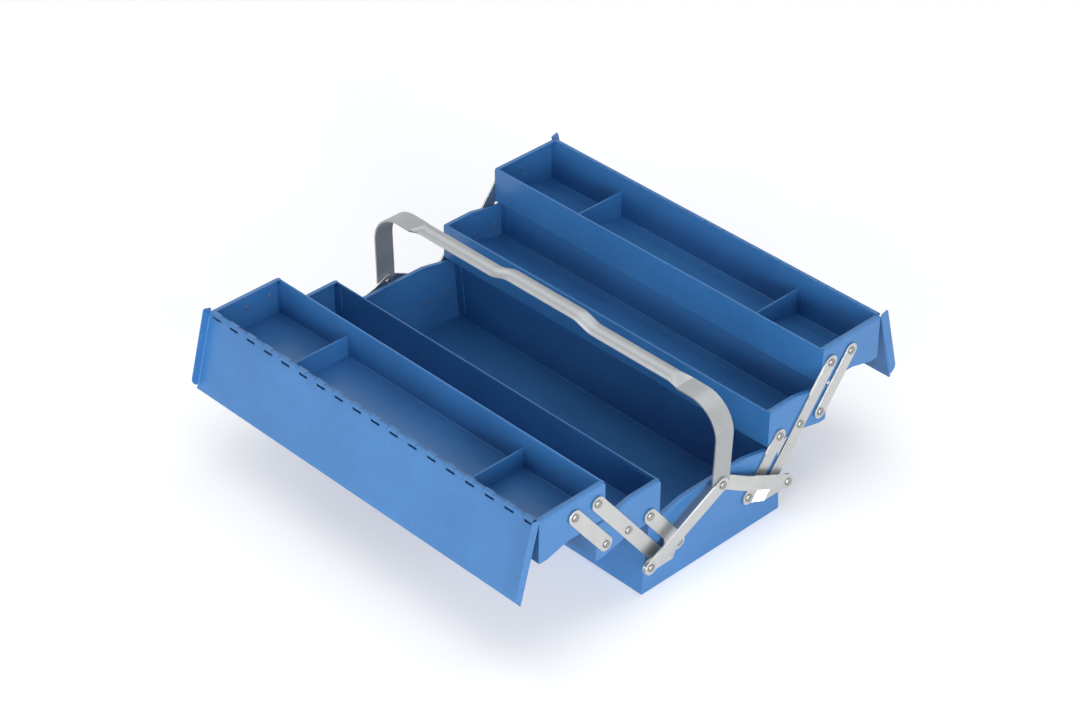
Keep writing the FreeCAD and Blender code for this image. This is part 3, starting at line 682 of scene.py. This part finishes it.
# %% [markdown]
# ## Slots under the knuckles
#
# The lid's sheet is slotted where the tray's knuckles pass, and on the real box these slots reach a
# little further down the sheet, so that they show as a row of dark dashes. A row of blocks is cut
# out of a copy of each lid: one block, repeated along the hinge by an array. The lid is made of
# solids that touch, so its triangles are joined up only after the cut, which makes them one.

# %% Slots in the lids
KNUCKLES = 18
KNUCKLE_GAP = 0.4
SLOT = (12.0, 1.7, 3.0)      # along the hinge, through the sheet and down the sheet
SLOT_DOWN, SLOT_IN = 4.3, 1.5    # the middle of a slot, from the hinge's axis
hang = math.radians(14.9)    # how far the lids hang off vertical
down = Vector((math.sin(hang), -math.cos(hang)))
inward = Vector((-math.cos(hang), -math.sin(hang)))
place = pivot("back_lid_hinge") + down * SLOT_DOWN + inward * SLOT_IN
wire_low, wire_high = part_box("back_hinge_wire")
pitch = ((wire_high.x - wire_low.x) / MM + KNUCKLE_GAP) / (KNUCKLES - 0.5)
first_x = -(KNUCKLES - 1) / 2 * pitch
for side_name, side in SIDES:
    lid = loose_copy(side_name + "_lid", side_name + "_lid_slotted")
    bpy.ops.mesh.primitive_cube_add(size=MM, rotation=(side * hang, 0, 0), scale=SLOT,
                                    location=(first_x * MM, side * place.x * MM, place.y * MM))
    blocks = settle(bpy.context.active_object)
    apply_modifier(blocks, "ARRAY", count=KNUCKLES, use_relative_offset=False,
                   use_constant_offset=True, constant_offset_displace=(pitch * MM, 0, 0))
    apply_modifier(lid, "BOOLEAN", operation="DIFFERENCE", object=blocks, solver="EXACT",
                   use_self=True)
    bpy.data.objects.remove(blocks)
    join_faces(lid)
    even_shading(lid, 25)
    finish_piece(lid, side_name + "_lid")
    print(lid.name, "has", len(lid.data.polygons), "faces")

# %% [markdown]
# ## The studio
#
# The picture is a pale table top under large soft lamps. The floor is plain and keeps the object's
# shadow. For the camera, and for what metal reflects, a faint glow lifts it to white, so that the
# object keeps ordinary light.

# %% Floor
TABLE_TOP = (0.86, 0.865, 0.88, 1)
GLOW_COLOUR = (0.97, 0.98, 1.0, 1)
GLOW = 0.25
bpy.ops.mesh.primitive_plane_add(size=12, location=(0, 0, -0.4 * MM))
floor = bpy.context.active_object
floor.name = "floor"
table = Finish("table_top")
rays = table.node("ShaderNodeLightPath")
seen = rays.out("Is Camera Ray") + rays.out("Is Glossy Ray") + rays.out("Is Transmission Ray")
plain = table.node("ShaderNodeBsdfDiffuse", {}, {"Color": TABLE_TOP})
glow = table.node("ShaderNodeEmission", {}, {"Color": GLOW_COLOUR, "Strength": seen * GLOW})
both = table.node("ShaderNodeAddShader", {}, {0: plain.out(0), 1: glow.out(0)})
floor.data.materials.append(table.done(both))
print("floor laid")

# %% [markdown]
# The lamps are large and stand all round. The low ones at the front and at the near end light the
# outer faces, while little of their light falls into the pans, which stay dark.

# %% Lamps
AIM = (0, 0, 0.1)


def lamp(name, place, size, power):
    """A square soft lamp that looks at the box."""
    data = bpy.data.lights.new(name, "AREA")
    data.shape = "SQUARE"
    data.size = size
    data.energy = power
    item = bpy.data.objects.new(name, data)
    bpy.context.scene.collection.objects.link(item)
    item.location = place
    direction = Vector(AIM) - Vector(place)
    item.rotation_euler = direction.to_track_quat("-Z", "Y").to_euler()


lamp("over", (-0.2, 0.1, 2.4), 2.6, 24)
lamp("left", (-1.0, -2.4, 0.9), 1.6, 12)
lamp("right", (2.5, -0.4, 0.9), 1.6, 22)
lamp("back", (0.3, 2.4, 1.4), 1.8, 20)
lamp("west", (-2.4, 0.3, 1.3), 1.8, 14)
lamp("front", (0.4, -2.6, 0.5), 1.4, 46)
lamp("low_right", (2.6, -0.8, 0.4), 1.2, 50)
print("lamps:", len(bpy.data.lights))

# %% [markdown]
# The room is white to the camera and in reflections, and gives the object only a weak fill light.

# %% World
FILL = 0.17
world = bpy.data.worlds.new("studio")
bpy.context.scene.world = world
world.use_nodes = True
room = Net(world.node_tree)
rays = room.node("ShaderNodeLightPath")
seen = rays.out("Is Camera Ray")
seen = seen.math("MAXIMUM", seen, rays.out("Is Glossy Ray"))
seen = seen.math("MAXIMUM", seen, rays.out("Is Transmission Ray"))
air = room.node("ShaderNodeBackground", {}, {"Color": (1, 1, 1, 1),
                                             "Strength": seen * (1 - FILL) + FILL})
room.node("ShaderNodeOutputWorld", {}, {"Surface": air.out(0)})
print("room has", len(world.node_tree.nodes), "nodes")

# %% [markdown]
# ## The camera
#
# The photograph was matched by fitting a camera to about sixty points of the box. Its place and the
# direction of its view come from that fit, and a long lens keeps the near and far ends alike.

# %% Camera
CAMERA_PLACE = (1.75475, -1.73469, 1.87173)
PHOTO_WIDTH, FOCAL_LENGTH = 1080, 2971.7    # in pixels
azimuth, elevation, roll = (math.radians(a) for a in (45.46, 35.51, 0.55))
forward = Vector((-math.sin(azimuth) * math.cos(elevation),
                  math.cos(azimuth) * math.cos(elevation),
                  -math.sin(elevation)))
level = Vector((math.cos(azimuth), math.sin(azimuth), 0))
upright = level.cross(forward)
right = level * math.cos(roll) + upright * math.sin(roll)
up = upright * math.cos(roll) - level * math.sin(roll)
camera_data = bpy.data.cameras.new("camera")
camera_data.sensor_width = 36
camera_data.lens = 36 * FOCAL_LENGTH / PHOTO_WIDTH
camera_data.clip_end = 50
camera = bpy.data.objects.new("camera", camera_data)
bpy.context.scene.collection.objects.link(camera)
view = Matrix((right, up, -forward)).transposed().to_4x4()
camera.matrix_world = Matrix.Translation(CAMERA_PLACE) @ view
bpy.context.scene.camera = camera
bpy.context.scene.view_settings.view_transform = "Standard"
print("camera looks down by", round(math.degrees(elevation), 2), "degrees")

# %% [markdown]
# ## The end
#
# At the end nothing is left selected.

# %% Nothing left selected
bpy.ops.object.select_all(action="DESELECT")
